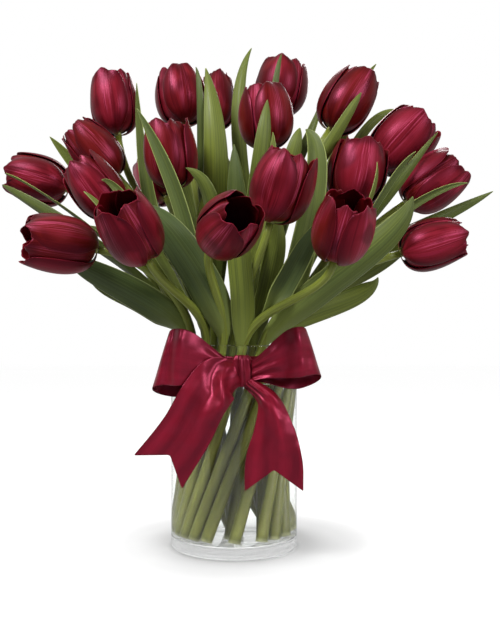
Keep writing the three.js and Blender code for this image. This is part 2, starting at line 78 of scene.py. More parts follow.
# The camera stands level with the rim of the vase. The photo's vase axis and horizon lie off
# its middle, and the shift brings them back to those pixels.
camera = {
    "distance": 0.813, "height": 0.203, "metresPerPixel": 0.001016, "sensor": 36.0,
    "photoWide": 500, "photoHigh": 625, "axisPixel": 234, "horizonPixel": 345,
}


def setUpCamera():
    high = camera["photoHigh"]
    lens = bpy.data.cameras.new("photoCamera")
    lens.sensor_width = camera["sensor"]
    lens.lens = camera["sensor"] * camera["distance"] / (high * camera["metresPerPixel"])
    lens.shift_x = (camera["photoWide"] / 2 - camera["axisPixel"]) / high
    lens.shift_y = (camera["horizonPixel"] - high / 2) / high
    stand = addObject("photoCamera", lens)
    stand.location = (0, -camera["distance"], camera["height"])
    stand.rotation_euler = (math.radians(90), 0, 0)
    bpy.context.scene.camera = stand


setUpCamera()
print("camera set")


# inputs are values, or the sockets that feed them
def addNode(tree, kind, inputs=None, **settings):
    node = tree.nodes.new(kind)
    for name, value in settings.items():
        setattr(node, name, value)
    for name, value in (inputs or {}).items():
        if isinstance(value, bpy.types.NodeSocket):
            tree.links.new(value, node.inputs[name])
        else:
            node.inputs[name].default_value = value
    return node


def addMath(tree, operation, *values):
    return addNode(tree, "ShaderNodeMath", dict(enumerate(values)), operation=operation).outputs[0]


def addRange(tree, value, low, high, start=0.0, end=1.0):
    inputs = {"Value": value, "From Min": low, "From Max": high, "To Min": start, "To Max": end}
    return addNode(tree, "ShaderNodeMapRange", inputs, interpolation_type="SMOOTHSTEP").outputs["Result"]


def addRamp(tree, factor, *stops):
    ramp = addNode(tree, "ShaderNodeValToRGB", {"Fac": factor})
    while len(ramp.color_ramp.elements) < len(stops):
        ramp.color_ramp.elements.new(0.5)
    for element, (place, colour) in zip(ramp.color_ramp.elements, stops):
        element.position = place
        element.color = (*colour, 1)
    return ramp.outputs["Color"]


def addBlend(tree, share, *colours):
    # a colour is three values, or the socket that feeds it
    inputs = {0: share}
    for slot, colour in zip((6, 7), colours):
        inputs[slot] = colour if isinstance(colour, bpy.types.NodeSocket) else (*colour, 1)
    return addNode(tree, "ShaderNodeMix", inputs, data_type="RGBA").outputs[2]


def addPlace(tree):
    # across and along the piece from its UV map, and its own tone
    place = addNode(tree, "ShaderNodeUVMap", uv_map="surface")
    split = addNode(tree, "ShaderNodeSeparateXYZ", {0: place.outputs["UV"]})
    tone = addNode(tree, "ShaderNodeAttribute", attribute_name="tone").outputs["Fac"]
    return split.outputs["X"], split.outputs["Y"], tone


def addSideways(tree, place):
    # from 0 on the middle line to 0.5 at either side
    return addMath(tree, "ABSOLUTE", addMath(tree, "SUBTRACT", place[0], 0.5))


def addRim(tree, place, sides, tip, share):
    atSides, atTip = addRange(tree, addSideways(tree, place), *sides), addRange(tree, place[1], *tip)
    return addMath(tree, "MULTIPLY", addMath(tree, "MAXIMUM", atSides, atTip), share)


lineNoise = {"roughness": 0.55, "toneStep": 37.0}


def addLines(tree, place, across, along, detail):
    # noise drawn out along the piece, so that it reads as veins, threads or streaks
    stretched = addNode(tree, "ShaderNodeCombineXYZ", {
        "X": addMath(tree, "MULTIPLY", place[0], across),
        "Y": addMath(tree, "MULTIPLY", place[1], along),
        "Z": addMath(tree, "MULTIPLY", place[2], lineNoise["toneStep"]),
    })
    return addNode(tree, "ShaderNodeTexNoise", {
        "Vector": stretched.outputs[0], "Scale": 1.0, "Detail": detail, "Roughness": lineNoise["roughness"],
    }).outputs["Fac"]


def addGrain(tree, scale, detail):
    where = addNode(tree, "ShaderNodeTexCoord").outputs["Object"]
    noise = addNode(tree, "ShaderNodeTexNoise", {"Vector": where, "Scale": scale, "Detail": detail})
    return noise.outputs["Fac"]


def newFinish(name, constants):
    finish = bpy.data.materials.new(name)
    finish.use_nodes = True
    shader = finish.node_tree.nodes["Principled BSDF"]
    for socket, value in constants.items():
        shader.inputs[socket].default_value = value
    return finish, finish.node_tree, shader


def feed(shader, socket, value):
    shader.id_data.links.new(value, shader.inputs[socket])


def addBump(tree, shader, height, strength, depth):
    bump = addNode(tree, "ShaderNodeBump", {"Strength": strength, "Distance": depth, "Height": height})
    feed(shader, "Normal", bump.outputs["Normal"])


# Petals: some blood red and some nearer magenta, with long streaks that are partly the petal's own
# lines and partly painted sheen, pale lines down the middle, painted shade on the flanks, thin bright
# rims, a dark crown and a pale green foot. Lines give how many cross the piece, how often they change
# along it, and their detail.
petalLook = {
    "dark": (0.036, 0.0013, 0.0014), "blood": (0.100, 0.0058, 0.0036), "magenta": (0.148, 0.0072, 0.0135),
    "streak": (0.215, 0.013, 0.034), "line": (0.42, 0.060, 0.130), "rim": (0.22, 0.010, 0.022),
    "crown": (0.026, 0.0008, 0.0012), "foot": (0.22, 0.21, 0.06),
    "insideDark": (0.007, 0.0006, 0.0007), "insideTop": (0.070, 0.0016, 0.0024),
    "broadLines": (9.0, 0.9, 2.0), "fineLines": (55.0, 1.6, 3.0), "patchLines": (2.2, 2.6, 1.0),
    "insideLines": (40.0, 1.5, 3.0),
    "shadeShare": 0.65, "streakShare": 0.7, "lineShare": 0.55, "sideShadeShare": 0.78, "patchShare": 0.65,
    "crownShare": 0.6, "footShare": 0.7,
    "rimAt": {"sides": (0.470, 0.498), "tip": (0.978, 0.997), "share": 0.45},
    "insideRimAt": {"sides": (0.46, 0.498), "tip": (0.97, 0.997), "share": 0.6},
    "roughness": (0.29, 0.46), "bump": (0.5, 0.0006), "insideBump": (0.4, 0.0005),
    "shader": {"Specular IOR Level": 0.34, "Specular Tint": (1, 0.16, 0.36, 1), "Sheen Weight": 0.02,
               "Sheen Roughness": 0.35, "Sheen Tint": (1, 0.25, 0.40, 1)},
    "insideShader": {"Specular IOR Level": 0.238, "Specular Tint": (1, 0.16, 0.36, 1), "Roughness": 0.5},
}


def makePetalOutside():
    look = petalLook
    finish, tree, shader = newFinish("petalOutside", look["shader"])
    place = addPlace(tree)
    along, tone = place[1:]
    sideways = addSideways(tree, place)
    broad = addLines(tree, place, *look["broadLines"])
    fine = addLines(tree, place, *look["fineLines"])
    patches = addLines(tree, place, *look["patchLines"])
    # the streaks are partly the petal's own lines and partly painted sheen, running from dark to bright
    streaks = addMath(tree, "MULTIPLY_ADD", broad, 0.6, addMath(tree, "MULTIPLY", fine, 0.4))
    hue = addBlend(tree, addRange(tree, tone, 0.30, 0.75), look["blood"], look["magenta"])
    shade = addRange(tree, streaks, 0.50, 0.34, 0.0, look["shadeShare"])
    light = addRange(tree, streaks, 0.50, 0.72, 0.0, look["streakShare"])
    lit = addBlend(tree, light, addBlend(tree, shade, hue, look["dark"]), look["streak"])
    middle = addMath(tree, "MULTIPLY", addRange(tree, sideways, 0.02, 0.17, look["lineShare"], 0.0),
                     addRange(tree, along, 0.25, 0.55))
    lines = addMath(tree, "MULTIPLY", middle, addRange(tree, fine, 0.50, 0.62))
    # painted shade: each petal darkens towards its sides, as in the creases between petals; random dark
    # patches are mixed in
    sideShadeAndPatches = addMath(tree, "MAXIMUM", addRange(tree, sideways, 0.20, 0.48, 0.0, look["sideShadeShare"]),
                    addRange(tree, patches, 0.52, 0.36, 0.0, look["patchShare"]))
    body = addBlend(tree, sideShadeAndPatches, addBlend(tree, lines, lit, look["line"]), look["dark"])
    crowned = addBlend(tree, addRange(tree, along, 0.80, 1.0, 0.0, look["crownShare"]), body, look["crown"])
    rimmed = addBlend(tree, addRim(tree, place, **look["rimAt"]), crowned, look["rim"])
    ragged = addMath(tree, "MULTIPLY_ADD", fine, 0.10, along)
    foot = addRange(tree, ragged, 0.07, 0.15, look["footShare"], 0.0)
    feed(shader, "Base Color", addBlend(tree, foot, rimmed, look["foot"]))
    feed(shader, "Roughness", addRange(tree, broad, 0.3, 0.7, *look["roughness"]))
    addBump(tree, shader, streaks, *look["bump"])
    return finish


def makePetalInside():
    look = petalLook
    finish, tree, shader = newFinish("petalInside", look["insideShader"])
    place = addPlace(tree)
    fine = addLines(tree, place, *look["insideLines"])
    height = addMath(tree, "MULTIPLY_ADD", fine, 0.3, place[1])
    body = addRamp(tree, height, (0.45, look["insideDark"]), (1.0, look["insideTop"]))
    feed(shader, "Base Color", addBlend(tree, addRim(tree, place, **look["insideRimAt"]), body, look["rim"]))
    addBump(tree, shader, fine, *look["insideBump"])
    return finish


# Leaves: dull grey-green with parallel veins, pale edges and a light foot.
leafLook = {
    "blue": (0.050, 0.074, 0.020), "yellow": (0.120, 0.146, 0.016), "vein": (0.028, 0.041, 0.008),
    "edge": (0.27, 0.31, 0.09), "foot": (0.20, 0.24, 0.05), "veinShare": 0.55, "footShare": 0.85,
    "footEnd": 0.36, "veinLines": (42.0, 0.8, 2.0), "broadLines": (5.0, 2.2, 2.0),
    "edgeAt": {"sides": (0.455, 0.495), "tip": (0.975, 1.0), "share": 0.8},
    "roughness": (0.38, 0.58), "bump": (0.45, 0.0006),
    "shader": {"Specular IOR Level": 0.22, "Sheen Weight": 0.08, "Sheen Roughness": 0.5},
}


def makeLeafFinish():
    look = leafLook
    finish, tree, shader = newFinish("leafGreen", look["shader"])
    place = addPlace(tree)
    along, tone = place[1:]
    veins = addLines(tree, place, *look["veinLines"])
    broad = addLines(tree, place, *look["broadLines"])
    lean = addMath(tree, "MULTIPLY_ADD", tone, 0.7, addMath(tree, "MULTIPLY", broad, 0.5))
    body = addRamp(tree, lean, (0.25, look["blue"]), (0.85, look["yellow"]))
    veined = addBlend(tree, addRange(tree, veins, 0.60, 0.36, 0.0, look["veinShare"]), body, look["vein"])
    edged = addBlend(tree, addRim(tree, place, **look["edgeAt"]), veined, look["edge"])
    foot = addRange(tree, along, 0.0, look["footEnd"], look["footShare"], 0.0)
    feed(shader, "Base Color", addBlend(tree, foot, edged, look["foot"]))
    feed(shader, "Roughness", addRange(tree, broad, 0.3, 0.7, *look["roughness"]))
    addBump(tree, shader, veins, *look["bump"])
    return finish


# Stems: lighter than the leaves, faintly lined, with painted shade on the part under water, and pale at the
# cut.
stemLook = {
    "body": (0.150, 0.180, 0.024), "pale": (0.235, 0.265, 0.052), "blush": (0.105, 0.110, 0.018),
    "underwaterShade": (0.078, 0.074, 0.016), "underwaterShadeAt": (0.34, 0.56), "underwaterShadeShare": 0.70,
    "cut": (0.30, 0.31, 0.17), "cutEnd": 0.012, "lines": (22.0, 4.0, 3.0),
    "bump": (0.35, 0.0005), "shader": {"Specular IOR Level": 0.3, "Roughness": 0.38},
}


def makeStemFinish():
    look = stemLook
    finish, tree, shader = newFinish("stemGreen", look["shader"])
    place = addPlace(tree)
    lines = addLines(tree, place, *look["lines"])
    body = addRamp(tree, lines, (0.30, look["blush"]), (0.50, look["body"]), (0.75, look["pale"]))
    # painted shade: the part of the stem under water is darker
    under = addRange(tree, place[1], *look["underwaterShadeAt"], look["underwaterShadeShare"], 0.0)
    cut = addRange(tree, place[1], 0.0, look["cutEnd"], 1.0, 0.0)
    feed(shader, "Base Color", addBlend(tree, cut, addBlend(tree, under, body, look["underwaterShade"]), look["cut"]))
    addBump(tree, shader, lines, *look["bump"])
    return finish


# The small parts inside a bloom, mottled over a few millimetres.
heartLooks = {
    "pistilGreen": {"low": (0.16, 0.18, 0.05), "high": (0.36, 0.38, 0.14), "roughness": 0.45},
    "stamenDark": {"low": (0.006, 0.004, 0.010), "high": (0.028, 0.016, 0.030), "roughness": 0.7},
    "grain": (420.0, 3.0), "bump": (0.5, 0.0004),
}


def makeHeartFinish(name):
    look = heartLooks[name]
    finish, tree, shader = newFinish(name, {"Roughness": look["roughness"], "Specular IOR Level": 0.3})
    grain = addGrain(tree, *heartLooks["grain"])
    feed(shader, "Base Color", addRamp(tree, grain, (0.35, look["low"]), (0.65, look["high"])))
    addBump(tree, shader, grain, *heartLooks["bump"])
    return finish


# Satin: wine red, with a faint weave, soft lengthwise streaks of painted sheen and shade over its threads,
# and a firm selvedge.
satinLook = {
    "dark": (0.060, 0.0018, 0.0042), "body": (0.098, 0.0028, 0.0072), "light": (0.150, 0.0046, 0.0130),
    "threads": (220.0, 3.0, 2.0), "weft": (500.0, 8.0, 1.0), "broadLines": (4.0, 1.5, 2.0),
    "hemAt": (0.480, 0.492), "hemShare": 0.5, "drape": (46.0, 1.0), "weaveShare": 0.006,
    "roughness": (0.32, 0.42), "bump": (0.8, 0.0045),
    "shader": {"Specular IOR Level": 1.0, "Specular Tint": (1, 0.15, 0.30, 1), "Sheen Weight": 0.03,
               "Sheen Roughness": 0.3, "Sheen Tint": (1, 0.35, 0.45, 1), "Anisotropic": 0.3},
}


def makeSatin():
    look = satinLook
    finish, tree, shader = newFinish("ribbonSatin", look["shader"])
    place = addPlace(tree)
    across, along, tone = place
    threads = addLines(tree, place, *look["threads"])
    weft = addLines(tree, (along, across, tone), *look["weft"])
    broad = addLines(tree, place, *look["broadLines"])
    # painted sheen and shade: broad lengthwise streaks from dark to light, with the threads mixed in
    shade = addMath(tree, "MULTIPLY_ADD", broad, 0.8, addMath(tree, "MULTIPLY", threads, 0.2))
    body = addRamp(tree, shade, (0.36, look["dark"]), (0.5, look["body"]), (0.66, look["light"]))
    hem = addRange(tree, addSideways(tree, place), *look["hemAt"], 0.0, look["hemShare"])
    feed(shader, "Base Color", addBlend(tree, hem, body, look["dark"]))
    feed(shader, "Roughness", addRange(tree, threads, 0.3, 0.7, *look["roughness"]))
    weave = addMath(tree, "MULTIPLY_ADD", weft, 0.5, threads)
    height = addMath(tree, "MULTIPLY_ADD", weave, look["weaveShare"], addGrain(tree, *look["drape"]))
    addBump(tree, shader, height, *look["bump"])
    return finish


# Glass and water bend the stems. Both let the light through to them.
clearLooks = {
    "glass": {"Base Color": (0.985, 0.995, 0.992, 1), "IOR": 1.46, "Specular Tint": (0.5, 0.5, 0.5, 1)},
    "water": {"Base Color": (0.992, 0.996, 0.985, 1), "IOR": 1.33, "Specular Tint": (0.06, 0.06, 0.06, 1)},
    "waves": (9.0, 1.0), "waveDepth": 0.002,
}


def makeClear(name, waviness):
    constants = {**clearLooks[name], "Transmission Weight": 1.0, "Roughness": 0.0}
    finish, tree, shader = newFinish("clear" + name.capitalize(), constants)
    addBump(tree, shader, addGrain(tree, *clearLooks["waves"]), waviness, clearLooks["waveDepth"])
    return finish


finishes = {
    "petalOutside": makePetalOutside(), "petalInside": makePetalInside(), "leaf": makeLeafFinish(),
    "stem": makeStemFinish(), "pistil": makeHeartFinish("pistilGreen"),
    "stamen": makeHeartFinish("stamenDark"), "satin": makeSatin(), "glass": makeClear("glass", 0.05),
    "water": makeClear("water", 0.0),
}
print("finishes made")


def hump(off, wide):
    return math.exp(-(off / wide) ** 2)


def newMesh():
    bm = bmesh.new()
    bm.loops.layers.uv.new("surface")
    bm.verts.layers.float.new("tone")
    return bm


def addGrid(bm, columns, rows, surface, tone=0.5):
    # surface(along, across) gives a point in millimetres, along from 0 to 1, across from -1 to 1
    old = set(bm.verts)
    bmesh.ops.create_grid(bm, x_segments=columns, y_segments=rows, size=1.0, calc_uvs=True)
    toneLayer = bm.verts.layers.float["tone"]
    for corner in bm.verts:
        if corner not in old:
            corner[toneLayer] = tone
            corner.co = surface((corner.co.y + 1) / 2, corner.co.x)


def closeSeams(bm, endSides=0):
    # joins a sheet to itself where it meets, and closes open ends of that many sides
    bmesh.ops.remove_doubles(bm, verts=bm.verts, dist=1e-3)
    if endSides:
        bmesh.ops.holes_fill(bm, edges=bm.edges, sides=endSides)
    bmesh.ops.recalc_face_normals(bm, faces=bm.faces)


def makePiece(name, bm, finishNames, nodes=()):
    bmesh.ops.scale(bm, vec=(mm, mm, mm), verts=bm.verts)
    mesh = bpy.data.meshes.new(name)
    bm.to_mesh(mesh)
    bm.free()
    for finishName in finishNames:
        mesh.materials.append(finishes[finishName])
    mesh.shade_smooth()
    piece = addObject(name, mesh)
    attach(piece, "root")
    if nodes:
        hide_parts(*nodes)
    return piece


def thicken(piece, thick, insideShift=0):
    shell = piece.modifiers.new("thickness", "SOLIDIFY")
    shell.thickness = thick * mm
    shell.offset = 0
    shell.material_offset = insideShift
    rounder = piece.modifiers.new("rounder", "SUBSURF")
    rounder.levels = 1
    rounder.render_levels = 1


# The bunch, in millimetres and degrees. foot is where a stem stands and mouth where it crosses the
# rim of the vase, each by its distance from the axis and its angle, which runs from the right of
# the camera round the back. base is the foot of the bloom, lean the way it tips and tilt how far.
# Each leaf gives the height at which it starts, the way it faces, a point that it passes, its tip,
# its width and, where it isn't the usual one, the fold at its foot.
tulips = [
    {"name": "a", "foot": (20, 85), "mouth": (23, 160), "base": (-119, 10, 418),
     "tilt": 8, "lean": 178, "length": 64, "radius": 25, "open": 0.25, "roll": 20, "leaves": [
        (215, 170, (-62, 14, 305), (-98, 16, 385), 18)]},
    {"name": "b", "foot": (44, 90), "mouth": (51, 178), "base": (-115, -20, 370),
     "tilt": 42, "lean": 190, "length": 64, "radius": 24, "open": 0.2, "roll": 50, "leaves": [
        (225, 60, (-80, -2, 330), (-98, -8, 467), 17),
        (215, 190, (-130, -24, 307), (-223, -36, 370), 12)]},
    {"name": "c", "foot": (44, 125), "mouth": (51, 198), "base": (-109, -68, 323),
     "tilt": 38, "lean": 195, "length": 62, "radius": 24, "open": 0.2, "roll": 10, "leaves": [
        (212, 215, (-134, -38, 299), (-230, -20, 362), 16),
        (206, 235, (-86, -30, 240), (-136, -46, 262), 26)]},
    {"name": "d", "foot": (44, 55), "mouth": (51, 158), "base": (-168, 0, 361),
     "tilt": 74, "lean": 182, "length": 62, "radius": 25, "open": 0.35, "roll": 30, "leaves": [
        (225, 100, (-120, 22, 330), (-192, 20, 420), 18),
        (210, 150, (-100, 52, 285), (-175, 80, 335), 28)]},
    {"name": "e", "foot": (44, 146), "mouth": (51, 218), "base": (-123, -90, 289),
     "tilt": 84, "lean": 203, "length": 66, "radius": 25, "open": 0.5, "roll": 80, "leaves": [
        (200, 245, (-92, -53, 249), (-158, -60, 286), 31)]},
    {"name": "f", "foot": (44, 164), "mouth": (51, 238), "base": (-75, -118, 277),
     "tilt": 44, "lean": 238, "length": 64, "radius": 25, "open": 0.55, "roll": 0, "leaves": [
        (212, 70, (-43, -60, 310), (-92, -56, 427), 18),
        (203, 60, (-33, -52, 248), (-58, -68, 295), 20),
        (232, 150, (-86, -89, 290), (-134, -100, 340), 12),
        (236, 120, (-80, -84, 304), (-118, -100, 350), 11)]},
    {"name": "g", "foot": (28, 21), "mouth": (23, 113), "base": (-52, 40, 436),
     "tilt": 9, "lean": 160, "length": 62, "radius": 27, "open": 0.35, "roll": 40, "leaves": [
        (228, 270, (-18, -8, 345), (-29, 4, 486), 29),
        (300, 250, (-34, 4, 400), (-39, 4, 487), 10),
        (200, 120, (-38, 56, 330), (-80, 66, 440), 28)]},
    {"name": "h", "foot": (29, 150), "mouth": (23, 207), "base": (-58, -30, 355),
     "tilt": 9, "lean": 210, "length": 66, "radius": 26, "open": 0.35, "roll": 0, "leaves": [
        (225, 250, (-20, -46, 305), (-45, -63, 369), 20),
        (210, 290, (-24, -20, 285), (-30, -24, 350), 24)]},
    {"name": "i", "foot": (28, 346), "mouth": (23, 63), "base": (-18, 110, 452),
     "tilt": 8, "lean": 95, "length": 66, "radius": 21, "open": 0.05, "roll": 35, "leaves": [
        (195, 60, (6, 58, 310), (-12, 82, 420), 28)]},
    {"name": "j", "foot": (44, 182), "mouth": (51, 258), "base": (-17, -125, 290),
     "tilt": 68, "lean": 297, "length": 58, "radius": 26, "open": 0.35, "roll": 15, "leaves": [
        (203, 266, (-34, -86, 270), (-79, -94, 329), 36, 30)]},
    {"name": "k", "foot": (30, 322), "mouth": (23, 14), "base": (46, 60, 453),
     "tilt": 9, "lean": 0, "length": 60, "radius": 28, "open": 0.4, "roll": 10, "leaves": [
        (240, 250, (7, 18, 385), (19, 38, 519), 18),
        (340, 270, (38, 27, 430), (50, 26, 508), 9),
        (290, 60, (60, 40, 380), (92, 46, 462), 14),
        (210, 20, (52, 24, 315), (84, 32, 392), 22)]},
    {"name": "l", "foot": (3, 275), "mouth": (3, 0), "base": (35, -6, 400),
     "tilt": 5, "lean": 200, "length": 63, "radius": 28, "open": 0.3, "roll": 60, "leaves": [
        (230, 250, (4, -26, 305), (0, -35, 398), 26),
        (245, 280, (22, -38, 340), (32, -46, 438), 22)]},
    {"name": "m", "foot": (27, 184), "mouth": (23, 265), "base": (33, -84, 314),
     "tilt": 22, "lean": 318, "length": 66, "radius": 28, "open": 0.4, "roll": 0, "leaves": [
        (240, 80, (28, -50, 320), (37, -50, 406), 14)]},
    {"name": "n", "foot": (19, 262), "mouth": (23, 325), "base": (99, 20, 426),
     "tilt": 32, "lean": 2, "length": 70, "radius": 27, "open": 0.3, "roll": 45, "leaves": [
        (245, 285, (46, -40, 335), (63, -50, 410), 22),
        (300, 290, (85, -16, 385), (127, -14, 455), 14),
        (190, 290, (35, -38, 262), (41, -51, 325), 24, 40)]},
    {"name": "o", "foot": (44, 236), "mouth": (51, 322), "base": (115, -20, 341),
     "tilt": 12, "lean": 340, "length": 64, "radius": 29, "open": 0.35, "roll": 30, "leaves": [
        (195, 105, (70, -38, 315), (70, -30, 414), 28, 40)]},
    {"name": "p", "foot": (44, 200), "mouth": (51, 280), "base": (88, -108, 277),
     "tilt": 38, "lean": 285, "length": 62, "radius": 25, "open": 0.5, "roll": 75, "leaves": [
        (190, 285, (8, -75, 262), (3, -84, 330), 26, 30),
        (225, 100, (52, -62, 268), (82, -79, 320), 24)]},
    {"name": "q", "foot": (44, 303), "mouth": (51, 2), "base": (148, 20, 386),
     "tilt": 44, "lean": 345, "length": 70, "radius": 29, "open": 0.5, "roll": 15, "leaves": [
        (260, 90, (106, 50, 395), (154, 52, 507), 15),
        (215, 290, (140, 12, 298), (268, 14, 362), 18)]},
    {"name": "r", "foot": (44, 270), "mouth": (51, 342), "base": (171, -10, 345),
     "tilt": 54, "lean": 352, "length": 64, "radius": 27, "open": 0.35, "roll": 70, "leaves": [
        (275, 300, (138, -32, 332), (200, -28, 412), 13),
        (222, 300, (112, -22, 268), (184, -22, 315), 28)]},
    {"name": "s", "foot": (44, 218), "mouth": (51, 302), "base": (158, -50, 290),
     "tilt": 74, "lean": 355, "length": 62, "radius": 25, "open": 0.2, "roll": 25, "leaves": [
        (195, 290, (100, -66, 268), (166, -70, 341), 32, 40),
        (205, 300, (88, -40, 238), (138, -46, 268), 24),
        (252, 150, (112, -54, 310), (135, -58, 376), 10),
        (258, 140, (128, -42, 325), (175, -44, 389), 11),
        (245, 120, (140, -40, 315), (224, -48, 358), 10)]},
    {"name": "t", "foot": (44, 322), "mouth": (51, 25), "base": (128, 108, 360),
     "tilt": 46, "lean": 50, "length": 64, "radius": 25, "open": 0.35, "roll": 55, "leaves": [
        (262, 290, (114, 58, 385), (185, 68, 460), 14),
        (222, 20, (110, 52, 285), (195, 72, 335), 28),
        (204, 120, (62, 62, 269), (105, 68, 380), 28)]},
    {"name": "u", "foot": (44, 345), "mouth": (51, 65), "base": (-4, 122, 345),
     "tilt": 62, "lean": 94, "length": 64, "radius": 25, "open": 0.4, "roll": 5, "leaves": [
        (180, 70, (38, 80, 330), (30, 95, 450), 32, 35)]},
    {"name": "v", "foot": (44, 20), "mouth": (51, 110), "base": (-78, 112, 372),
     "tilt": 42, "lean": 122, "length": 64, "radius": 25, "open": 0.3, "roll": 85, "leaves": [
        (180, 130, (-75, 95, 300), (-140, 120, 370), 32, 35),
        (200, 180, (-56, 58, 262), (-112, 62, 345), 34)]},
]

vase = {
    "radius": 63.5, "height": 203, "wall": 3.5, "floor": 11, "foot": 3, "waterLevel": 165,
    "turns": 160, "footHeight": 13.2, "inner": 5, "hold": 0.4,
}
# The tepal's belly, shoulder and top are shares of the bloom's radius and length.
bloomCut = {
    "outer": {"spread": 55, "wide": 1.0, "long": 1.0, "lift": 0.0},
    "inner": {"spread": 50, "wide": 0.87, "long": 0.98, "lift": 2.4},
    "belly": (1.36, 0.02), "shoulder": (1.0, 0.33, 0.76), "top": (0.58, 0.4, 1.0),
    "columns": 14, "rows": 14, "thick": 0.8, "tipStart": 0.50, "sideTop": 0.88, "cup": 0.05, "crease": 0.6,
    "ruffle": 1.5, "ruffles": 4.5, "notch": 0.6, "notches": 17, "curl": 2.4, "sway": 0.05,
    "tipPoint": 0.035, "tipWide": 0.22, "creaseWide": 0.14, "receptacle": 5.6,
}


def bloomAxis(tulip):
    tilt = math.radians(tulip["tilt"])
    return flatWay(tulip["lean"]) * math.sin(tilt) + up * math.cos(tilt)


def stemLine(tulip):
    footRadius, footAngle = tulip["foot"]
    mouthRadius, mouthAngle = tulip["mouth"]
    foot = flatWay(footAngle) * footRadius + up * vase["footHeight"]
    mouth = flatWay(mouthAngle) * mouthRadius + up * vase["height"]
    base, axis = Vector(tulip["base"]), bloomAxis(tulip)
    reach = (base - mouth).length
    rise = (mouth - foot).normalized()
    neck = base - axis * 0.3
    end = neck - axis * 4
    curve = (mouth, mouth + rise * (reach * 0.34), end - axis * (reach * 0.3), end)
    return {"foot": foot, "mouth": mouth, "neck": neck, "curve": curve}


def tepalSurface(tulip, whorl, turn, dice):
    cut = bloomCut
    radius = tulip["radius"] * whorl["wide"]
    length = tulip["length"] * whorl["long"]
    belly, bellyHeight = cut["belly"]
    profile = [Vector((radius * 0.1, 0.5 + whorl["lift"])),
               Vector((radius * belly, length * bellyHeight + whorl["lift"]))]
    for wide, opening, height in (cut["shoulder"], cut["top"]):
        profile.append(Vector((radius * (wide + opening * tulip["open"]), length * height)))
    turnToBloom = up.rotation_difference(bloomAxis(tulip))
    base = Vector(tulip["base"])
    tipStart, sideTop = cut["tipStart"], cut["sideTop"]
    topWide = math.sqrt(1 - ((sideTop - tipStart) / (1 - tipStart)) ** 3)

    def surface(along, across):
        top = tipStart + (1 - tipStart) * (1 - (topWide * across) ** 2) ** (1 / 3)
        u = along * (top + cut["tipPoint"] * hump(across, cut["tipWide"]) * along**6)
        side = along * sideTop
        taper = math.sqrt(1 - max(0, (side - tipStart) / (1 - tipStart)) ** 3)
        swell = 0.3 + 0.7 * math.sin(math.pi / 2 * min(1, u / 0.5))
        at = bezierPoint(profile, min(1.03, u))
        angle = turn + across * whorl["spread"] * swell * taper
        out = at.x * (1 - cut["cup"] * across**2 * taper)
        out -= cut["crease"] * hump(across, cut["creaseWide"]) * math.sin(math.pi * min(1, u))
        frill = cut["ruffle"] * along**5
        out += frill * math.sin(across * cut["ruffles"] + dice["phase"])
        out += cut["curl"] * dice["curl"] * along**7
        out += radius * cut["sway"] * dice["sway"] * math.sin(math.pi / 2 * along) ** 2
        height = at.y + frill * 0.8 * math.cos(across * 6 + dice["phase"] * 2)
        height += cut["notch"] * along**12 * math.sin(across * cut["notches"] + dice["phase"] * 5)
        return base + turnToBloom @ (flatWay(angle) * out + up * height)

    return surface


def makeBloom(tulip):
    bm = newMesh()
    name = tulip["name"]
    dicer = random.Random("bloom " + name)
    for petal in range(6):
        whorl = bloomCut["inner" if petal % 2 else "outer"]
        dice = {"phase": dicer.uniform(0, 6.28), "curl": dicer.uniform(-1, 1), "sway": dicer.uniform(-1, 1)}
        turn = tulip["roll"] + petal * 60 + dicer.uniform(-4, 4)
        surface = tepalSurface(tulip, whorl, turn, dice)
        addGrid(bm, bloomCut["columns"], bloomCut["rows"], surface, dicer.random())
    piece = makePiece("petals_" + name, bm, ["petalOutside", "petalInside"], ["bloom_" + name])
    thicken(piece, bloomCut["thick"], 1)


# A thick pistil with a three-lobed top on the receptacle, ringed by six dark stamens. Shares are of
# the bloom's length or of the pistil's radius, and the rest are millimetres from the bloom's foot.
heartCut = {
    "seatMiddle": 3.2, "seatDepth": 5, "seatShare": 0.7, "pistilRadius": 2.6, "pistilShare": 0.34,
    "pistilTaper": 0.8, "lobes": 3, "lobeShare": 0.95, "lobeSquash": (1, 1, 0.55), "stamens": 6,
    "stamenRing": 5.2, "stamenFoot": 4, "stamenShare": 0.20, "stamenRadii": (0.9, 0.5),
    "antherShare": 0.16, "antherRadius": 1.5, "antherSquash": 0.8,
}


def placePart(bm, corners, finishIndex, place):
    for corner in corners:
        for face in corner.link_faces:
            face.material_index = finishIndex
    bmesh.ops.translate(bm, vec=place, verts=corners)


def addCone(bm, finishIndex, place, radii, depth, sides=10):
    made = bmesh.ops.create_cone(bm, cap_ends=True, segments=sides, radius1=radii[0], radius2=radii[1],
                                 depth=depth)
    placePart(bm, made["verts"], finishIndex, place)


def addBall(bm, finishIndex, place, radius, squash):
    made = bmesh.ops.create_icosphere(bm, subdivisions=2, radius=radius)
    bmesh.ops.scale(bm, vec=squash, verts=made["verts"])
    placePart(bm, made["verts"], finishIndex, place)


